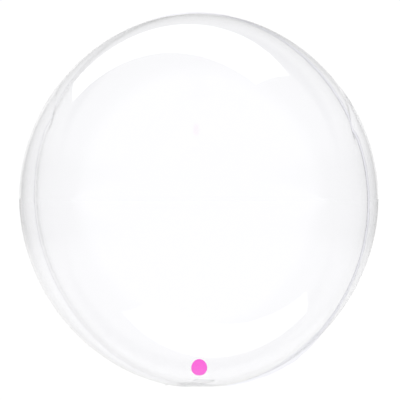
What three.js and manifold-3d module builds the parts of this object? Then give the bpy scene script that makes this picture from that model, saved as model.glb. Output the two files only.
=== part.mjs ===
// A clear bubble balloon: two round panels of stretchy film, welded together around their rim and
// blown up to a near-perfect ball. It lies on a small flattened spot beside the end of the weld
// where the filling tail comes out, and the tail trails behind it on the floor.
//
// Millimetres, +Z up. The origin is the middle of the flattened spot, on the floor. +X is the
// balloon's right and -Y its front, the side that carries the printed spot. The balloon is sealed
// and holds only air, so the whole envelope is one closed solid.
import * as THREE from 'three';
import { mergeVertices } from 'three/addons/utils/BufferGeometryUtils.js';
import Module from 'manifold-3d';

// The blown-up body, measured in the balloon's own frame: the weld lies in its XZ plane.
const BODY_WIDTH = 456.5;
const BODY_HEIGHT = 475.5;
const BODY_DEPTH = 450;
const DIAGONAL_EASE = 0.005; // share of the radius by which the oval's diagonals draw in
const TAPER = 0.003; // share of the radius by which the shoulders are fuller than the lower half

// How the balloon has come to rest: the weld's right side and its top both lean to the front.
const YAW = THREE.MathUtils.degToRad(20); // turns the weld's right side to the front
const PITCH = THREE.MathUtils.degToRad(4); // leans the weld's top to the front
const FLAT_SPOT_RADIUS = 34;

// The groove in which the two panels meet, deepest at the left and right, and its welded lip.
const GROOVE_DEPTH_SIDES = 3.2;
const GROOVE_DEPTH_ENDS = 0.6;
const GROOVE_WIDTH = 11; // over which it fades to a third
const GROOVE_REACH = 3.2; // how many such widths have rows of their own
const LIP_HEIGHT = 2.6;
const LIP_THICKNESS = 0.8;
const LIP_FLAP_HEIGHT = 6.5; // where the lip stands away from the film, low on the right
const LIP_FLAP_AZIMUTH = THREE.MathUtils.degToRad(-58);
const LIP_FLAP_SPREAD = THREE.MathUtils.degToRad(13);

// The flat filling tail.
const NECK_AZIMUTH = THREE.MathUtils.degToRad(-95);
const NECK_WIDTH = 59;
const TAIL_WIDTH = 27;
const TAIL_LENGTH = 98;
const TAIL_THICKNESS = 1;
const TAIL_FLARE_LENGTH = 17; // over which the neck narrows to the tail
const TAIL_DROP_LENGTH = 14; // over which the tail comes down from the weld to the floor
const TAIL_OVERLAP = 4; // how far the tail's root reaches into the body
const TAIL_HEADING = THREE.MathUtils.degToRad(13); // turned from straight back towards +X

const SEGMENTS_AROUND = 80;
const DOME_ROWS = 20;
const GROOVE_ROWS = 3;
const TAIL_STEPS = 20;

const meanRadius = (BODY_WIDTH + BODY_HEIGHT) / 4;

/** The body's radius at an azimuth round the weld: a mean circle with an oval, its diagonals
 * drawn in, and a slight taper towards the neck. */
function outlineRadius(azimuth) {
  const oval = (BODY_WIDTH - BODY_HEIGHT) / 4 * Math.cos(2 * azimuth);
  const diagonals = DIAGONAL_EASE * Math.cos(4 * azimuth);
  const taper = TAPER * Math.sin(3 * azimuth);
  return meanRadius * (1 + diagonals + taper) + oval;
}

/** How deep the groove is at an azimuth. */
function grooveDepth(azimuth) {
  return THREE.MathUtils.lerp(GROOVE_DEPTH_ENDS, GROOVE_DEPTH_SIDES, Math.cos(azimuth) ** 2);
}

/** How far the lip stands up from the bottom of the groove at an azimuth. */
function lipHeight(azimuth) {
  const away = (azimuth - LIP_FLAP_AZIMUTH) / LIP_FLAP_SPREAD;
  return LIP_HEIGHT + (LIP_FLAP_HEIGHT - LIP_HEIGHT) * Math.exp(-away * away);
}

/**
 * The rows of the body from the front pole over the weld to the back pole. Each has its angle in
 * front of the weld's plane, and onLip says whether it is the rim of the welded lip.
 */
function bodyRows() {
  const grooveAngle = GROOVE_REACH * GROOVE_WIDTH / meanRadius;
  const lipAngle = LIP_THICKNESS / 2 / meanRadius;
  const front = [];
  for (let row = 0; row <= DOME_ROWS; row += 1) {
    const angle = THREE.MathUtils.lerp(Math.PI / 2, grooveAngle, row / DOME_ROWS);
    front.push({ angle, onLip: false });
  }
  for (let row = 1; row <= GROOVE_ROWS; row += 1) {
    const share = (1 - row / GROOVE_ROWS) ** 1.6;
    front.push({ angle: THREE.MathUtils.lerp(lipAngle, grooveAngle, share), onLip: false });
  }
  front.push({ angle: lipAngle, onLip: true });
  const back = front.map(({ angle, onLip }) => ({ angle: -angle, onLip }));
  return [...front, ...back.reverse()];
}

/** A unit ball turned about Y by the lathe, whose points then move to the body's true radius. */
function bodyGeometry() {
  const rows = bodyRows();
  const profile = rows.map(({ angle }, index) => {
    const onAxis = index === 0 || index === rows.length - 1;
    return new THREE.Vector2(onAxis ? 0 : Math.cos(angle), -Math.sin(angle));
  });
  const geometry = new THREE.LatheGeometry(profile, SEGMENTS_AROUND);
  const position = geometry.attributes.position;
  const point = new THREE.Vector3();
  for (let index = 0; index < position.count; index += 1) {
    point.fromBufferAttribute(position, index);
    const { angle, onLip } = rows[index % rows.length];
    const azimuth = Math.atan2(point.z, point.x);
    const radius = outlineRadius(azimuth);
    const fromWeld = Math.abs(angle) * meanRadius;
    const filmRadius = radius - grooveDepth(azimuth) * Math.exp(-fromWeld / GROOVE_WIDTH);
    const acrossRadius = filmRadius + (onLip ? lipHeight(azimuth) : 0);
    point.x *= acrossRadius;
    point.y *= BODY_DEPTH / 2 * filmRadius / radius;
    point.z *= acrossRadius;
    position.setXYZ(index, point.x, point.y, point.z);
  }
  return geometry;
}

/** Turns a geometry or a point from the balloon's own frame to how it lies. */
function restingTurn() {
  const pitched = new THREE.Matrix4().makeRotationX(PITCH);
  const yawed = new THREE.Matrix4().makeRotationZ(-YAW);
  return yawed.multiply(pitched);
}

/** The lowest point of the tilted body, measured from its centre: that of its ellipsoid. */
function lowestPoint() {
  const halfHeight = outlineRadius(-Math.PI / 2);
  const halfDepth = BODY_DEPTH / 2;
  const down = new THREE.Vector3(0, -Math.sin(PITCH) * halfDepth, -Math.cos(PITCH) * halfHeight);
  down.normalize();
  const lowest = new THREE.Vector3(0, down.y * halfDepth, down.z * halfHeight);
  return lowest.applyMatrix4(restingTurn());
}

/** The neck's place on the weld, in the resting frame but still measured from the body's centre. */
function neckPoint() {
  const radius = outlineRadius(NECK_AZIMUTH) - grooveDepth(NECK_AZIMUTH);
  const point = new THREE.Vector3(Math.cos(NECK_AZIMUTH), 0, Math.sin(NECK_AZIMUTH));
  return point.multiplyScalar(radius).applyMatrix4(restingTurn());
}

/** The tail is a thin box bent along its length: u across, v along, w through the film. */
function tailGeometry(neck) {
  const geometry = new THREE.BoxGeometry(1, 1, 1, 4, TAIL_STEPS, 1);
  const position = geometry.attributes.position;
  const length = TAIL_LENGTH + TAIL_OVERLAP;
  for (let index = 0; index < position.count; index += 1) {
    const u = position.getX(index);
    const along = (position.getY(index) + 0.5) ** 1.5 * length - TAIL_OVERLAP;
    const w = position.getZ(index) + 0.5;
    const flare = Math.exp(-((Math.max(along, 0) / TAIL_FLARE_LENGTH) ** 2));
    const width = TAIL_WIDTH + (NECK_WIDTH - TAIL_WIDTH) * flare;
    const drop = THREE.MathUtils.smoothstep(along, 0, TAIL_DROP_LENGTH);
    const underside = Math.max(neck.z - TAIL_THICKNESS / 2, 0) * (1 - drop);
    position.setXYZ(index, u * width, along, underside + w * TAIL_THICKNESS);
  }
  geometry.rotateZ(-TAIL_HEADING);
  geometry.translate(neck.x, neck.y, 0);
  return geometry;
}

const wasm = await Module();
wasm.setup();

/** A closed manifold-3d solid from a three.js geometry. */
function toSolid(geometry) {
  const bare = geometry.clone();
  bare.deleteAttribute('normal');
  bare.deleteAttribute('uv');
  const merged = mergeVertices(bare, 1e-3);
  return new wasm.Manifold(new wasm.Mesh({
    numProp: 3,
    vertProperties: new Float32Array(merged.attributes.position.array),
    triVerts: new Uint32Array(merged.index.array),
  }));
}

/** A three.js geometry from a manifold-3d solid. */
function toGeometry(solid) {
  const { vertProperties, triVerts } = solid.getMesh();
  const geometry = new THREE.BufferGeometry();
  geometry.setAttribute('position', new THREE.BufferAttribute(vertProperties, 3));
  geometry.setIndex(new THREE.BufferAttribute(triVerts, 1));
  geometry.computeVertexNormals();
  return geometry;
}

/** The whole envelope: the body, cut flat where it lies, with the tail welded on. */
function balloonGeometry() {
  const lowest = lowestPoint();
  const sagitta = FLAT_SPOT_RADIUS ** 2 / (2 * -lowest.z);
  const centre = new THREE.Vector3(-lowest.x, -lowest.y, -lowest.z - sagitta);
  const body = bodyGeometry();
  body.applyMatrix4(restingTurn());
  body.translate(centre.x, centre.y, centre.z);

  const floor = new THREE.BoxGeometry(BODY_WIDTH, BODY_WIDTH, BODY_WIDTH);
  floor.translate(0, 0, -BODY_WIDTH / 2);
  const tail = tailGeometry(neckPoint().add(centre));
  return toGeometry(toSolid(body).subtract(toSolid(floor)).add(toSolid(tail)));
}

const film = new THREE.MeshStandardMaterial({
  name: 'clear stretch film',
  color: 0xf4f6fb,
  roughness: 0.04,
  metalness: 0,
  transparent: true,
  opacity: 0.3,
});

const balloon = new THREE.Mesh(balloonGeometry(), film);
balloon.name = 'balloon_envelope';

const clearBubbleBalloon = new THREE.Group();
clearBubbleBalloon.name = 'clear_bubble_balloon';
clearBubbleBalloon.add(balloon);

export default clearBubbleBalloon;
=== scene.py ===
"""The looks of a clear bubble balloon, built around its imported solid.

The balloon is two round panels of clear stretch film, welded round their rim and blown up to a
ball. It lies on a flattened spot, and its filling tail trails behind it. Every surface here is a
function of two parameters worked out on a grid, in millimetres, and made a mesh in metres.
"""
import math

import bpy
import numpy as np
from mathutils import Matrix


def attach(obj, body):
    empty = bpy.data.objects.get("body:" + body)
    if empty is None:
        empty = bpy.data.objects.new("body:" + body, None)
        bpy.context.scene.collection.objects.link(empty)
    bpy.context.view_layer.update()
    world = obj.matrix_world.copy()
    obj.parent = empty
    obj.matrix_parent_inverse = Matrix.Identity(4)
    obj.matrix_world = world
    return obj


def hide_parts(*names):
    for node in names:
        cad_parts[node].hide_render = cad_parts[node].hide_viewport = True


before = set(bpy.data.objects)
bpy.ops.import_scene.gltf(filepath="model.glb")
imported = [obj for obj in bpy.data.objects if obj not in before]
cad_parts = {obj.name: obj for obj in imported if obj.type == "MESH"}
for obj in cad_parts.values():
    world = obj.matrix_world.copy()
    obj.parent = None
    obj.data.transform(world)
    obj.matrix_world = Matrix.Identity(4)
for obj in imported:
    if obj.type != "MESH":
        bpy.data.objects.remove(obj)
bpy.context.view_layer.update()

MM = 0.001

# --- the balloon's measures, in millimetres ----------------------------------------------------
BODY_WIDTH = 456.5
BODY_HEIGHT = 475.5
BODY_DEPTH = 450
DIAGONAL_EASE = 0.005
TAPER = 0.003
YAW = math.radians(20)
PITCH = math.radians(4)
FLAT_SPOT_RADIUS = 34
MEAN_RADIUS = (BODY_WIDTH + BODY_HEIGHT) / 4

GROOVE_DEPTH_SIDES = 3.2
GROOVE_DEPTH_ENDS = 0.6
GROOVE_WIDTH = 11
GROOVE_REACH = 3.2
LIP_HEIGHT = 2.6
LIP_THICKNESS = 0.5
LIP_FLAP_HEIGHT = 6.5
LIP_FLAP_AZIMUTH = math.radians(-58)
LIP_FLAP_SPREAD = math.radians(13)
PUCKER_HEIGHT = 0.12
PUCKER_REACH = 16

# Each fold's azimuth at its foot on the weld and at its end, and how far in front it ends.
FOLDS = [(math.radians(152), math.radians(134), math.radians(15)),
         (math.radians(23), math.radians(41), math.radians(-15))]
FOLD_DEPTH = 2.6
FOLD_WIDTH = 7
FOLD_END = 1.35

NECK_AZIMUTH = math.radians(-95)
NECK_WIDTH = 59
TAIL_WIDTH = 27
TAIL_LENGTH = 98
TAIL_FLARE_LENGTH = 17
TAIL_DROP_LENGTH = 14
TAIL_OVERLAP = 4
TAIL_HEADING = math.radians(13)
TAIL_FILM = 0.45  # the two films pressed together
TAIL_SEAM = 1.5
GATHER_HEIGHT = 1.6
GATHER_LENGTH = 42
SWAY_HEIGHT = 0.5
CURL_HEIGHT = 2.5

SPOT_WIDTH = 19.8
SPOT_LENGTH = 43
SPOT_DIP = math.radians(-63.2)
SPOT_ASIDE = 0.0026  # radians
SPOT_LIFT = 0.1
INK_THICKNESS = 0.06

# The film is really 0.05 mm thick. It is drawn thicker so that its two faces stay apart.
FILM_THICKNESS = 0.3
CLEARANCE = 0.05

AROUND = 320
DOME_ROWS = 56
GROOVE_ROWS = 14


# --- meshes ------------------------------------------------------------------------------------
def new_object(name, vertices, faces, material_rows=None, materials=(), flat=None):
    """A smooth mesh object in metres from points in millimetres. material_rows gives each face
    its material, and flat marks the faces that keep their hard edges."""
    mesh = bpy.data.meshes.new(name)
    mesh.from_pydata((vertices * MM).tolist(), [], faces)
    for material in materials:
        mesh.materials.append(material)
    smooth = np.ones(len(faces), bool)
    if flat is not None:
        smooth &= ~flat
    mesh.polygons.foreach_set("use_smooth", smooth)
    if material_rows is not None:
        mesh.polygons.foreach_set("material_index", material_rows.astype(np.int32))
    mesh.validate()
    obj = bpy.data.objects.new(name, mesh)
    bpy.context.scene.collection.objects.link(obj)
    return obj


def closed_grid(points, offset=0, inward=False):
    """Vertices and faces of a closed surface from points[row, column], whose columns go round and
    whose first and last rows are poles. Each row between has a ring of quads to the next."""
    rows, columns = points.shape[:2]
    vertices = np.concatenate([points[:1, 0], points[1:-1].reshape(-1, 3), points[-1:, 0]])
    ring = np.arange(columns)
    after = (ring + 1) % columns
    inner = (np.arange(rows - 3)[:, None] * columns + 1) + 0 * ring
    quads = np.stack([inner + ring, inner + after, inner + columns + after,
                      inner + columns + ring], -1).reshape(-1, 4)
    last = (rows - 3) * columns + 1
    first_fan = np.stack([0 * ring, 1 + after, 1 + ring], -1)
    last_fan = np.stack([last + ring, last + after, 0 * ring + len(vertices) - 1], -1)
    parts = [first_fan, quads, last_fan]
    if inward:
        parts = [part[:, ::-1] for part in parts]
    return vertices, [(part + offset).tolist() for part in parts]


def volume_sign(vertices, quads):
    """The sign of the volume inside a closed mesh: positive where its faces point outwards."""
    total = 0.0
    for part in quads:
        corners = vertices[np.array(part)]
        for last in range(2, corners.shape[1]):
            total += np.einsum("ij,ij->i", corners[:, 0],
                               np.cross(corners[:, last - 1], corners[:, last])).sum()
    return np.sign(total)


# --- the shape of the film ----------------------------------------------------------------------
def outline_radius(azimuth):
    """A mean circle with an oval, its diagonals drawn in, and a slight taper to the neck."""
    oval = (BODY_WIDTH - BODY_HEIGHT) / 4 * np.cos(2 * azimuth)
    ease = DIAGONAL_EASE * np.cos(4 * azimuth)
    taper = TAPER * np.sin(3 * azimuth)
    return MEAN_RADIUS * (1 + ease + taper) + oval


def groove_depth(azimuth):
    """Deepest at the left and right, shallowest at the crown and the neck."""
    share = np.cos(azimuth) ** 2
    return GROOVE_DEPTH_ENDS + (GROOVE_DEPTH_SIDES - GROOVE_DEPTH_ENDS) * share


def lip_height(azimuth):
    """A narrow lip, lower on the left, that stands away from the film low on the right, with a
    faint waviness of two beating sines."""
    away = (azimuth - LIP_FLAP_AZIMUTH) / LIP_FLAP_SPREAD
    waves = 1 + 0.06 * np.sin(41 * azimuth) + 0.05 * np.sin(67 * azimuth + 1)
    height = LIP_HEIGHT * (0.65 + 0.35 * np.cos(azimuth))
    return (height + (LIP_FLAP_HEIGHT - height) * np.exp(-away**2)) * waves


def puckers(azimuth, from_weld):
    """The gathers that the stiff weld leaves in the film beside it: three sines of about 30 mm
    beating round the rim, which fade over PUCKER_REACH on both sides."""
    waves = np.sin(37 * azimuth) + np.sin(48 * azimuth + 2) + np.sin(61 * azimuth + 4)
    return PUCKER_HEIGHT / 2 * waves * np.exp(-((from_weld / PUCKER_REACH) ** 2))


def turn_to_rest(points):
    """Turns points from the balloon's own frame, with the weld in its XZ plane, to how it lies:
    pitched about X, then yawed about Z."""
    x, y, z = points[..., 0], points[..., 1], points[..., 2]
    y, z = y * math.cos(PITCH) - z * math.sin(PITCH), y * math.sin(PITCH) + z * math.cos(PITCH)
    x, y = x * math.cos(YAW) + y * math.sin(YAW), y * math.cos(YAW) - x * math.sin(YAW)
    return np.stack([x, y, z], -1)


def body_centre():
    """Where the body's middle is, so that its lowest point, that of its tilted ellipsoid, lies
    over the origin and as far below the floor as the flattened spot takes."""
    half_height, half_depth = float(outline_radius(-math.pi / 2)), BODY_DEPTH / 2
    down = np.array([0, -math.sin(PITCH) * half_depth, -math.cos(PITCH) * half_height])
    down /= np.linalg.norm(down)
    lowest = turn_to_rest(np.array([0, down[1] * half_depth, down[2] * half_height]))
    sagitta = FLAT_SPOT_RADIUS**2 / (2 * -lowest[2])
    return -lowest - np.array([0, 0, sagitta])


CENTRE = body_centre()


def fold_depth(azimuth, angle):
    """Two valleys in the film at the shoulders. Each runs slanting up from the weld, straight in
    azimuth and angle, with a bell-shaped cross-section, and fades out towards its far end."""
    depth = 0.0
    for foot, end, reach in FOLDS:
        run = np.array([end - foot, reach])
        length = np.linalg.norm(run)
        away_x, away_y = (azimuth - foot) * MEAN_RADIUS, angle * MEAN_RADIUS
        along = (away_x * run[0] + away_y * run[1]) / (length**2 * MEAN_RADIUS)
        across = (away_x * run[1] - away_y * run[0]) / length
        fade = np.clip((FOLD_END - along) / FOLD_END, 0, 1) * np.clip((along + 0.3) / 0.3, 0, 1)
        depth = depth + FOLD_DEPTH * fade * np.exp(-((across / FOLD_WIDTH) ** 2))
    return depth


def groove_profile(azimuth, from_weld):
    """How the groove falls off beside the weld: a sharp exponential on the right, and on the left
    a rounded bell curve."""
    sharp = np.exp(-from_weld / GROOVE_WIDTH)
    rounded = np.exp(-((from_weld / (1.4 * GROOVE_WIDTH)) ** 2))
    right = np.clip(np.cos(azimuth) + 0.5, 0, 1)
    return right * sharp + (1 - right) * rounded


def film_points(azimuth, angle, lift=0.0, raised=0.0):
    """The film's surface: azimuth goes round the weld and angle is how far in front of its plane.
    The radius is the outline's less the groove and the folds, plus the puckers. lift moves it
    outwards, and raised only across the weld's plane. What would be under the floor is pressed
    flat on it."""
    radius = outline_radius(azimuth)
    from_weld = np.abs(angle) * MEAN_RADIUS
    film = radius - groove_depth(azimuth) * groove_profile(azimuth, from_weld)
    film = film + puckers(azimuth, from_weld) - fold_depth(azimuth, angle)
    across = film + lift + raised
    own = np.stack([
        np.cos(angle) * np.cos(azimuth) * across,
        -np.sin(angle) * (BODY_DEPTH / 2 * film / radius + lift),
        np.cos(angle) * np.sin(azimuth) * across,
    ], -1)
    points = turn_to_rest(own) + CENTRE
    points[..., 2] = np.maximum(points[..., 2], CLEARANCE - np.minimum(lift, 0))
    return points


def row_angles(lip):
    """Angles from the front pole to the back pole, close together in the groove, with the lip's
    four edges in the middle, and the share of the lip's height that each row stands up."""
    groove_angle = GROOVE_REACH * GROOVE_WIDTH / MEAN_RADIUS
    lip_angle = LIP_THICKNESS / 2 / MEAN_RADIUS
    dome = groove_angle + (math.pi / 2 - groove_angle) * np.linspace(1, 0, DOME_ROWS + 1) ** 1.5
    share = (1 - np.arange(1, GROOVE_ROWS + 1) / GROOVE_ROWS) ** 1.8
    groove = lip_angle + (groove_angle - lip_angle) * share
    front = np.concatenate([dome, groove])
    height = np.zeros(len(front))
    if lip:
        front = np.append(front, lip_angle)
        height = np.append(height, 1.0)
    return np.concatenate([front, -front[::-1]]), np.concatenate([height, height[::-1]])


def column_azimuths():
    """The columns' azimuths, about twice as close together at the two folds."""
    even = np.linspace(-math.pi, math.pi, 2001)
    density = 1.0 + sum(1.3 * np.exp(-((even - (foot + end) / 2) / 0.3) ** 2)
                        for foot, end, reach in FOLDS)
    total = np.concatenate([[0], np.cumsum((density[1:] + density[:-1]) / 2)])
    return np.interp(np.arange(AROUND) / AROUND * total[-1], total, even)


def build_envelope(film, weld):
    """The film as a wall with two faces: an outer one with the lip on it, and an inner one that
    faces the air inside."""
    azimuth = column_azimuths()
    angles, heights = row_angles(lip=True)
    raised = heights[:, None] * lip_height(azimuth)[None, :]
    outer = film_points(azimuth[None, :], angles[:, None], 0.0, raised)
    inner_angles, _ = row_angles(lip=False)
    inner = film_points(azimuth[None, :], inner_angles[:, None], -FILM_THICKNESS)

    outer_vertices, outer_faces = closed_grid(outer)
    turned = volume_sign(outer_vertices, outer_faces) < 0
    outer_vertices, outer_faces = closed_grid(outer, inward=turned)
    inner_vertices, inner_faces = closed_grid(inner, len(outer_vertices), inward=not turned)

    ring_rows = np.repeat(np.arange(len(angles) - 3), AROUND)
    middle = len(angles) // 2
    lip_rows = (ring_rows >= middle - 3) & (ring_rows <= middle - 1)
    fan = np.zeros(AROUND, bool)
    inner_count = sum(len(part) for part in inner_faces)
    on_lip = np.concatenate([fan, lip_rows, fan, np.zeros(inner_count, bool)])
    faces = [face for part in outer_faces + inner_faces for face in part]
    vertices = np.concatenate([outer_vertices, inner_vertices])
    return new_object("film_envelope", vertices, faces, on_lip, (film, weld), on_lip)


def neck_point():
    """Where the tail leaves the weld, at the bottom of its groove."""
    radius = outline_radius(NECK_AZIMUTH) - groove_depth(NECK_AZIMUTH)
    own = np.array([math.cos(NECK_AZIMUTH), 0, math.sin(NECK_AZIMUTH)]) * radius
    return turn_to_rest(own) + CENTRE


def build_tail(film, weld):
    """The flat filling tail on the floor behind the neck. Its cross-section is a flat loop carried
    straight along it, whose width falls off as a bell curve from the neck's to its own. It comes
    down from the weld over TAIL_DROP_LENGTH, gathers run lengthwise out of the neck and die away
    along it, and its cut end curls up a little."""
    neck = neck_point()
    rows, across = 60, 41
    along = np.linspace(0, 1, rows)[:, None] ** 1.5 * (TAIL_LENGTH + TAIL_OVERLAP) - TAIL_OVERLAP
    there = np.linspace(-1, 1, across)
    u = np.concatenate([there, there[::-1]])[None, :]
    side = np.concatenate([np.zeros(across), np.ones(across)])[None, :]
    flare = np.exp(-((np.maximum(along, 0) / TAIL_FLARE_LENGTH) ** 2))
    half_width = (TAIL_WIDTH + (NECK_WIDTH - TAIL_WIDTH) * flare) / 2
    step = np.clip(along / TAIL_DROP_LENGTH, 0, 1)
    drop = step * step * (3 - 2 * step)
    in_middle = np.clip((half_width * (1 - np.abs(u)) - TAIL_SEAM) / 2, 0, 1)
    gathers = 0.5 + 0.5 * np.cos(u * 17 + 0.6 * np.sin(u * 5))
    gathers = GATHER_HEIGHT * gathers * np.exp(-((along / GATHER_LENGTH) ** 2)) * in_middle
    sways = 0.5 + 0.5 * np.sin(along / 11 + u * 1.7)
    sways = SWAY_HEIGHT * sways * np.clip(along / 20, 0, 1)
    curl = CURL_HEIGHT * np.clip((along - TAIL_LENGTH + 22) / 22, 0, 1) ** 2
    height = max(neck[2] - 0.5, 0) * (1 - drop) + drop * (CLEARANCE + curl) + gathers + sways
    thickness = TAIL_FILM * (0.45 + 0.55 * in_middle)
    x, y = u * half_width, along + 0 * u
    z = np.maximum(height, CLEARANCE) + thickness * (1 - side)
    turned = [x * math.cos(TAIL_HEADING) + y * math.sin(TAIL_HEADING) + neck[0],
              y * math.cos(TAIL_HEADING) - x * math.sin(TAIL_HEADING) + neck[1], z]
    points = np.stack(turned, -1)
    ends = points.mean(axis=1, keepdims=True)
    points = np.concatenate([ends[:1] + 0 * points[:1], points, ends[-1:] + 0 * points[-1:]])
    vertices, faces = closed_grid(points)
    vertices, faces = closed_grid(points, inward=volume_sign(vertices, faces) < 0)
    columns = 2 * across
    seam_columns = in_middle < 0.5
    seam_faces = np.concatenate([np.ones(columns, bool), seam_columns[:-1].reshape(-1),
                                 np.ones(columns, bool)])
    flat_faces = [face for part in faces for face in part]
    return new_object("filling_tail", vertices, flat_faces, seam_faces, (film, weld))


def on_film(toward, lift):
    """Where directions from the body's middle, turned to rest, meet the film."""
    x, y, z = toward[..., 0], toward[..., 1], toward[..., 2]
    x, y = x * math.cos(YAW) - y * math.sin(YAW), x * math.sin(YAW) + y * math.cos(YAW)
    y, z = y * math.cos(PITCH) + z * math.sin(PITCH), z * math.cos(PITCH) - y * math.sin(PITCH)
    azimuth = np.arctan2(z, x)
    level = np.hypot(x, z) / outline_radius(azimuth)
    angle = np.arctan2(-y / (BODY_DEPTH / 2), level)
    return film_points(azimuth, angle, lift)


def build_printed_spot(ink):
    """A thin blank layer of ink on the film, low on the front. It is an oval about a direction
    from the body's middle, long enough up the curve to look round from the front."""
    rings, columns = 14, 96
    turn = np.arange(columns) / columns * 2 * math.pi
    share = np.linspace(0, 1, rings + 1)[:, None]
    side = share * np.sin(turn) * SPOT_WIDTH / 2 / MEAN_RADIUS
    up = share * np.cos(turn) * SPOT_LENGTH / 2 / MEAN_RADIUS
    dip = SPOT_DIP + up
    toward = np.stack([np.sin(side + SPOT_ASIDE), -np.cos(side) * np.cos(dip),
                       np.cos(side) * np.sin(dip)], -1)
    top = on_film(toward, SPOT_LIFT + INK_THICKNESS)
    under = on_film(toward, SPOT_LIFT)
    points = np.concatenate([top, under[::-1]])
    vertices, faces = closed_grid(points)
    vertices, faces = closed_grid(points, inward=volume_sign(vertices, faces) < 0)
    flat_faces = [face for part in faces for face in part]
    return new_object("printed_spot", vertices, flat_faces, materials=(ink,))


# --- materials ----------------------------------------------------------------------------------
def linear(colour):
    """An sRGB hex colour as linear RGBA."""
    parts = [int(colour[i:i + 2], 16) / 255 for i in (1, 3, 5)]
    return [c / 12.92 if c <= 0.04045 else ((c + 0.055) / 1.055) ** 2.4 for c in parts] + [1]


def add(tree, kind, inputs=(), **settings):
    """Adds a node with its settings. inputs maps a socket's name or number to a value or to the
    output that feeds it."""
    made = tree.nodes.new(kind)
    for name, value in settings.items():
        setattr(made, name, value)
    for socket, value in dict(inputs).items():
        if isinstance(value, bpy.types.NodeSocket):
            tree.links.new(value, made.inputs[socket])
        else:
            made.inputs[socket].default_value = value
    return made


def new_material(name):
    """An empty node material and its tree."""
    material = bpy.data.materials.new(name)
    material.use_nodes = True
    material.node_tree.nodes.clear()
    return material, material.node_tree


def clear_film():
    """Blown TPU stretch film: water clear and glossy, with a faint draw texture."""
    material, tree = new_material("blown_clear_tpu_film")
    place = add(tree, "ShaderNodeTexCoord").outputs["Object"]
    draw = add(tree, "ShaderNodeTexNoise", {"Vector": place, "Scale": 9.0, "Detail": 2.0})
    bump = add(tree, "ShaderNodeBump", {"Height": draw.outputs[0], "Strength": 0.05,
                                        "Distance": 0.001})
    shader = add(tree, "ShaderNodeBsdfPrincipled", {
        "Base Color": linear("#FDFDFE"), "Roughness": 0.0, "IOR": 1.49,
        "Transmission Weight": 1.0, "Normal": bump.outputs[0]})
    add(tree, "ShaderNodeOutputMaterial", {"Surface": shader.outputs[0]})
    return material


def sealed_weld():
    """The same film melted together: a little hazy, with the heated bar's fine grain pressed in."""
    material, tree = new_material("heat_sealed_tpu_weld")
    place = add(tree, "ShaderNodeTexCoord").outputs["Object"]
    # Grain of about 2 mm, the weave of the release cloth on a sealing bar.
    grain = add(tree, "ShaderNodeTexNoise", {"Vector": place, "Scale": 500.0, "Detail": 1.0})
    haze = add(tree, "ShaderNodeMapRange", {
        "Value": grain.outputs[0], "To Min": 0.08, "To Max": 0.16}).outputs[0]
    pressed = add(tree, "ShaderNodeBump", {
        "Height": grain.outputs[0], "Strength": 0.2, "Distance": 0.00004})
    shader = add(tree, "ShaderNodeBsdfPrincipled", {
        "Base Color": linear("#F4F4F8"), "Roughness": haze, "IOR": 1.49,
        "Transmission Weight": 1.0, "Normal": pressed.outputs[0]})
    add(tree, "ShaderNodeOutputMaterial", {"Surface": shader.outputs[0]})
    return material


def printed_ink():
    """Screen-printed magenta ink: even, satin, with a faint grain from the mesh."""
    material, tree = new_material("screen_printed_magenta_ink")
    place = add(tree, "ShaderNodeTexCoord").outputs["Object"]
    grain = add(tree, "ShaderNodeTexNoise", {"Vector": place, "Scale": 1500.0, "Detail": 2.0})
    bump = add(tree, "ShaderNodeBump", {"Height": grain.outputs[0], "Strength": 0.15,
                                        "Distance": 0.0002})
    tone = add(tree, "ShaderNodeMix", {0: grain.outputs[0], 6: linear("#F54DD2"),
                                       7: linear("#FA52D8")}, data_type="RGBA")
    shader = add(tree, "ShaderNodeBsdfPrincipled", {
        "Base Color": tone.outputs[2], "Roughness": 0.35, "IOR": 1.5,
        "Normal": bump.outputs[0]})
    add(tree, "ShaderNodeOutputMaterial", {"Surface": shader.outputs[0]})
    return material


def studio_floor():
    """Matt white board with painted light. Its glow is painted light that stands in for the light
    it gives back.
    It is brightest in a painted pool of light that widens behind the balloon: from POOL_HALF_WIDTH,
    by
    POOL_SPREAD of the way back, to POOL_FADE times that far out it falls off to painted shade at
    the tone of the studio's walls."""
    material, tree = new_material("white_board_with_painted_light_pool")
    place = add(tree, "ShaderNodeTexCoord").outputs["Object"]
    parts = add(tree, "ShaderNodeSeparateXYZ", {0: place}).outputs
    aside = add(tree, "ShaderNodeMath", {0: parts["X"]}, operation="ABSOLUTE").outputs[0]
    back = add(tree, "ShaderNodeMath", {0: parts["Y"], 1: 0.0}, operation="MAXIMUM").outputs[0]
    edge = add(tree, "ShaderNodeMath", {0: back, 1: POOL_SPREAD, 2: POOL_HALF_WIDTH},
               operation="MULTIPLY_ADD").outputs[0]
    share = add(tree, "ShaderNodeMath", {0: aside, 1: edge}, operation="DIVIDE").outputs[0]
    past = add(tree, "ShaderNodeMapRange", {
        "Value": share, "From Min": 1.0, "From Max": POOL_FADE},
        interpolation_type="SMOOTHSTEP").outputs[0]
    behind = add(tree, "ShaderNodeMapRange", {
        "Value": parts["Y"], "From Min": -POOL_START, "From Max": 0.0},
        interpolation_type="SMOOTHSTEP").outputs[0]
    painted_shade_share = add(tree, "ShaderNodeMath", {0: past, 1: behind}, operation="MULTIPLY").outputs[0]
    # Painted light: the floor glows brighter in the pool and darker past it, a painted pool of
    # light with painted shade round it.
    tone = add(tree, "ShaderNodeMix", {0: painted_shade_share, 6: [POOL_GLOW] * 3 + [1],
                                       7: [PAST_POOL_GLOW] * 3 + [1]}, data_type="RGBA")
    glow = add(tree, "ShaderNodeEmission", {"Color": tone.outputs[2]})
    board = add(tree, "ShaderNodeBsdfDiffuse", {"Color": [BOARD_SHADE] * 3 + [1]})
    both = add(tree, "ShaderNodeAddShader", {0: glow.outputs[0], 1: board.outputs[0]})
    add(tree, "ShaderNodeOutputMaterial", {"Surface": both.outputs[0]})
    return material


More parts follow.
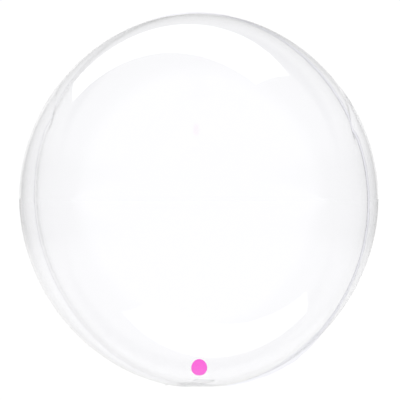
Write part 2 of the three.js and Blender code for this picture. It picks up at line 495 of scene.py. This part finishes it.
# --- the studio ---------------------------------------------------------------------------------
def direction(azimuth, elevation):
    """A unit direction from degrees to the right of straight back, and degrees up."""
    a, e = math.radians(azimuth), math.radians(elevation)
    return np.array([math.sin(a) * math.cos(e), math.cos(a) * math.cos(e), math.sin(e)])


# Each card of the far studio: its corners as degrees to the right of straight back and degrees
# up, its brightness, how soft its edges are, and its tint. CAMERA_SIDE is measured from straight
# towards the camera instead.
BACK, CAMERA_SIDE = 1, -1
CARDS = [
    ("white screens", [(-88, -60), (88, -60), (88, 62), (-88, 62)], 1.03, 0.5, "#FFFFFF",
     CAMERA_SIDE),
    ("gap over the backdrop", [(-75, 16), (-60, 45), (60, 45), (75, 16)], 0.45, 0.15, "#F7F7FC",
     BACK),
    ("backdrop", [(-18, -30), (-18, 12), (18, 12), (18, -30)], 1.03, 0.1, "#FFFFFF", BACK),
]
WALLS = 0.68

# The softbox over the balloon. Its far edge's middle is measured from the body's middle. Each edge
# has its length, then its heading in degrees to the right of straight back and its rise in degrees.
SOFTBOX_MIDDLE = (25, 525, 845)
SOFTBOX_FAR_EDGE = (1670, 107, 13)
SOFTBOX_LEFT_END = (370, -147, 5)
SOFTBOX_RIGHT_END = (610, -160, 8.5)
SOFTBOX_BOW = 80
SOFTBOX_STEPS = 32
SOFTBOX_BRIGHTNESS = 1.5

# The painted pool of light on the floor, in metres, how bright its painted glow and the painted
# shade
#  past it are, and how much of the softbox's light the board gives back on top.
POOL_HALF_WIDTH = 0.34
POOL_SPREAD = 0.06
POOL_GLOW = 0.95
PAST_POOL_GLOW = 0.62
POOL_FADE = 3.0
POOL_START = 1.0
BOARD_SHADE = 0.1
FLOOR_REACH = 2000000
FLOOR_DROP = 0.3

CAMERA_DISTANCE = 5666
CAMERA_ASIDE = 1.6
LENS = 400


def build_world():
    """The far studio as cards on the sky: inside a card every edge's plane is on its good side,
    so its mask is the product of one soft step for each edge."""
    world = bpy.data.worlds.new("studio")
    bpy.context.scene.world = world
    world.use_nodes = True
    tree = world.node_tree
    tree.nodes.clear()
    ray = add(tree, "ShaderNodeTexCoord").outputs["Generated"]
    ray = add(tree, "ShaderNodeVectorMath", {0: ray}, operation="NORMALIZE").outputs[0]
    colour = add(tree, "ShaderNodeRGB").outputs[0]
    colour.default_value = (WALLS, WALLS, WALLS, 1)
    for name, corners, brightness, softness, tint, side in CARDS:
        places = [direction(*corner) * np.array([1, side, 1]) for corner in corners]
        middle = sum(places)
        mask = None
        for here, there in zip(places, places[1:] + places[:1]):
            edge = np.cross(here, there)
            edge /= np.linalg.norm(edge) * np.sign(edge @ middle)
            inside = add(tree, "ShaderNodeVectorMath", {0: ray, 1: edge.tolist()},
                         operation="DOT_PRODUCT").outputs["Value"]
            step = add(tree, "ShaderNodeMapRange", {
                "Value": inside, "From Min": -softness / 2, "From Max": softness / 2},
                interpolation_type="SMOOTHSTEP").outputs[0]
            mask = step if mask is None else add(
                tree, "ShaderNodeMath", {0: mask, 1: step}, operation="MULTIPLY").outputs[0]
        shade = [brightness * part for part in linear(tint)[:3]] + [1]
        mixed = add(tree, "ShaderNodeMix", {0: mask, 6: colour, 7: shade}, data_type="RGBA",
                    label=name)
        colour = mixed.outputs[2]
    sky = add(tree, "ShaderNodeBackground", {"Color": colour, "Strength": 1.0})
    add(tree, "ShaderNodeOutputWorld", {"Surface": sky.outputs[0]})


def build_softbox():
    """A glowing panel over the balloon. Its two ends run from its straight far edge to its near
    edge, which bows out in a parabola."""
    far_edge, left_end, right_end = (
        length * direction(heading, rise)
        for length, heading, rise in (SOFTBOX_FAR_EDGE, SOFTBOX_LEFT_END, SOFTBOX_RIGHT_END))
    far_left = SOFTBOX_MIDDLE - far_edge / 2
    far_right = SOFTBOX_MIDDLE + far_edge / 2
    near_left, near_right = far_left + left_end, far_right + right_end
    across = np.linspace(0, 1, SOFTBOX_STEPS + 1)[:, None]
    far = far_left + (far_right - far_left) * across
    near = near_left + (near_right - near_left) * across
    near[:, 1:2] -= SOFTBOX_BOW * 4 * across * (1 - across)
    points = np.concatenate([far, near]) + CENTRE
    index = np.arange(SOFTBOX_STEPS)
    below = index + SOFTBOX_STEPS + 1
    faces = np.stack([index, index + 1, below + 1, below], -1).tolist()
    material, tree = new_material("softbox_diffuser")
    glow = add(tree, "ShaderNodeEmission", {"Strength": SOFTBOX_BRIGHTNESS})
    add(tree, "ShaderNodeOutputMaterial", {"Surface": glow.outputs[0]})
    panel = new_object("studio_softbox", points, faces, materials=(material,))
    panel.visible_camera = False


def build_floor(material):
    """A wide board just under the balloon."""
    signs = np.array([(-1, -1), (1, -1), (1, 1), (-1, 1)])
    corners = np.column_stack([signs * float(FLOOR_REACH), np.full(4, -FLOOR_DROP)])
    floor = new_object("studio_floor", corners, [(0, 1, 2, 3)], materials=(material,))


def build_camera():
    """Level with the middle of the balloon, straight in front."""
    camera = bpy.data.objects.new("camera", bpy.data.cameras.new("camera"))
    bpy.context.scene.collection.objects.link(camera)
    camera.data.lens = LENS
    camera.data.clip_end = 5000
    camera.location = np.array([CENTRE[0] + CAMERA_ASIDE, CENTRE[1] - CAMERA_DISTANCE,
                                CENTRE[2]]) * MM
    camera.rotation_euler = (math.pi / 2, 0, 0)
    bpy.context.scene.camera = camera


film, weld = clear_film(), sealed_weld()
pieces = [
    build_envelope(film, weld),
    build_tail(film, weld),
    build_printed_spot(printed_ink()),
]
for piece in pieces:
    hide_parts("balloon_envelope")
    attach(piece, "root")
# Clear film casts next to no shadow.
for clear_piece in pieces[:2]:
    clear_piece.visible_shadow = False

build_world()
build_softbox()
build_floor(studio_floor())
build_camera()
bpy.context.scene.view_settings.view_transform = "Standard"
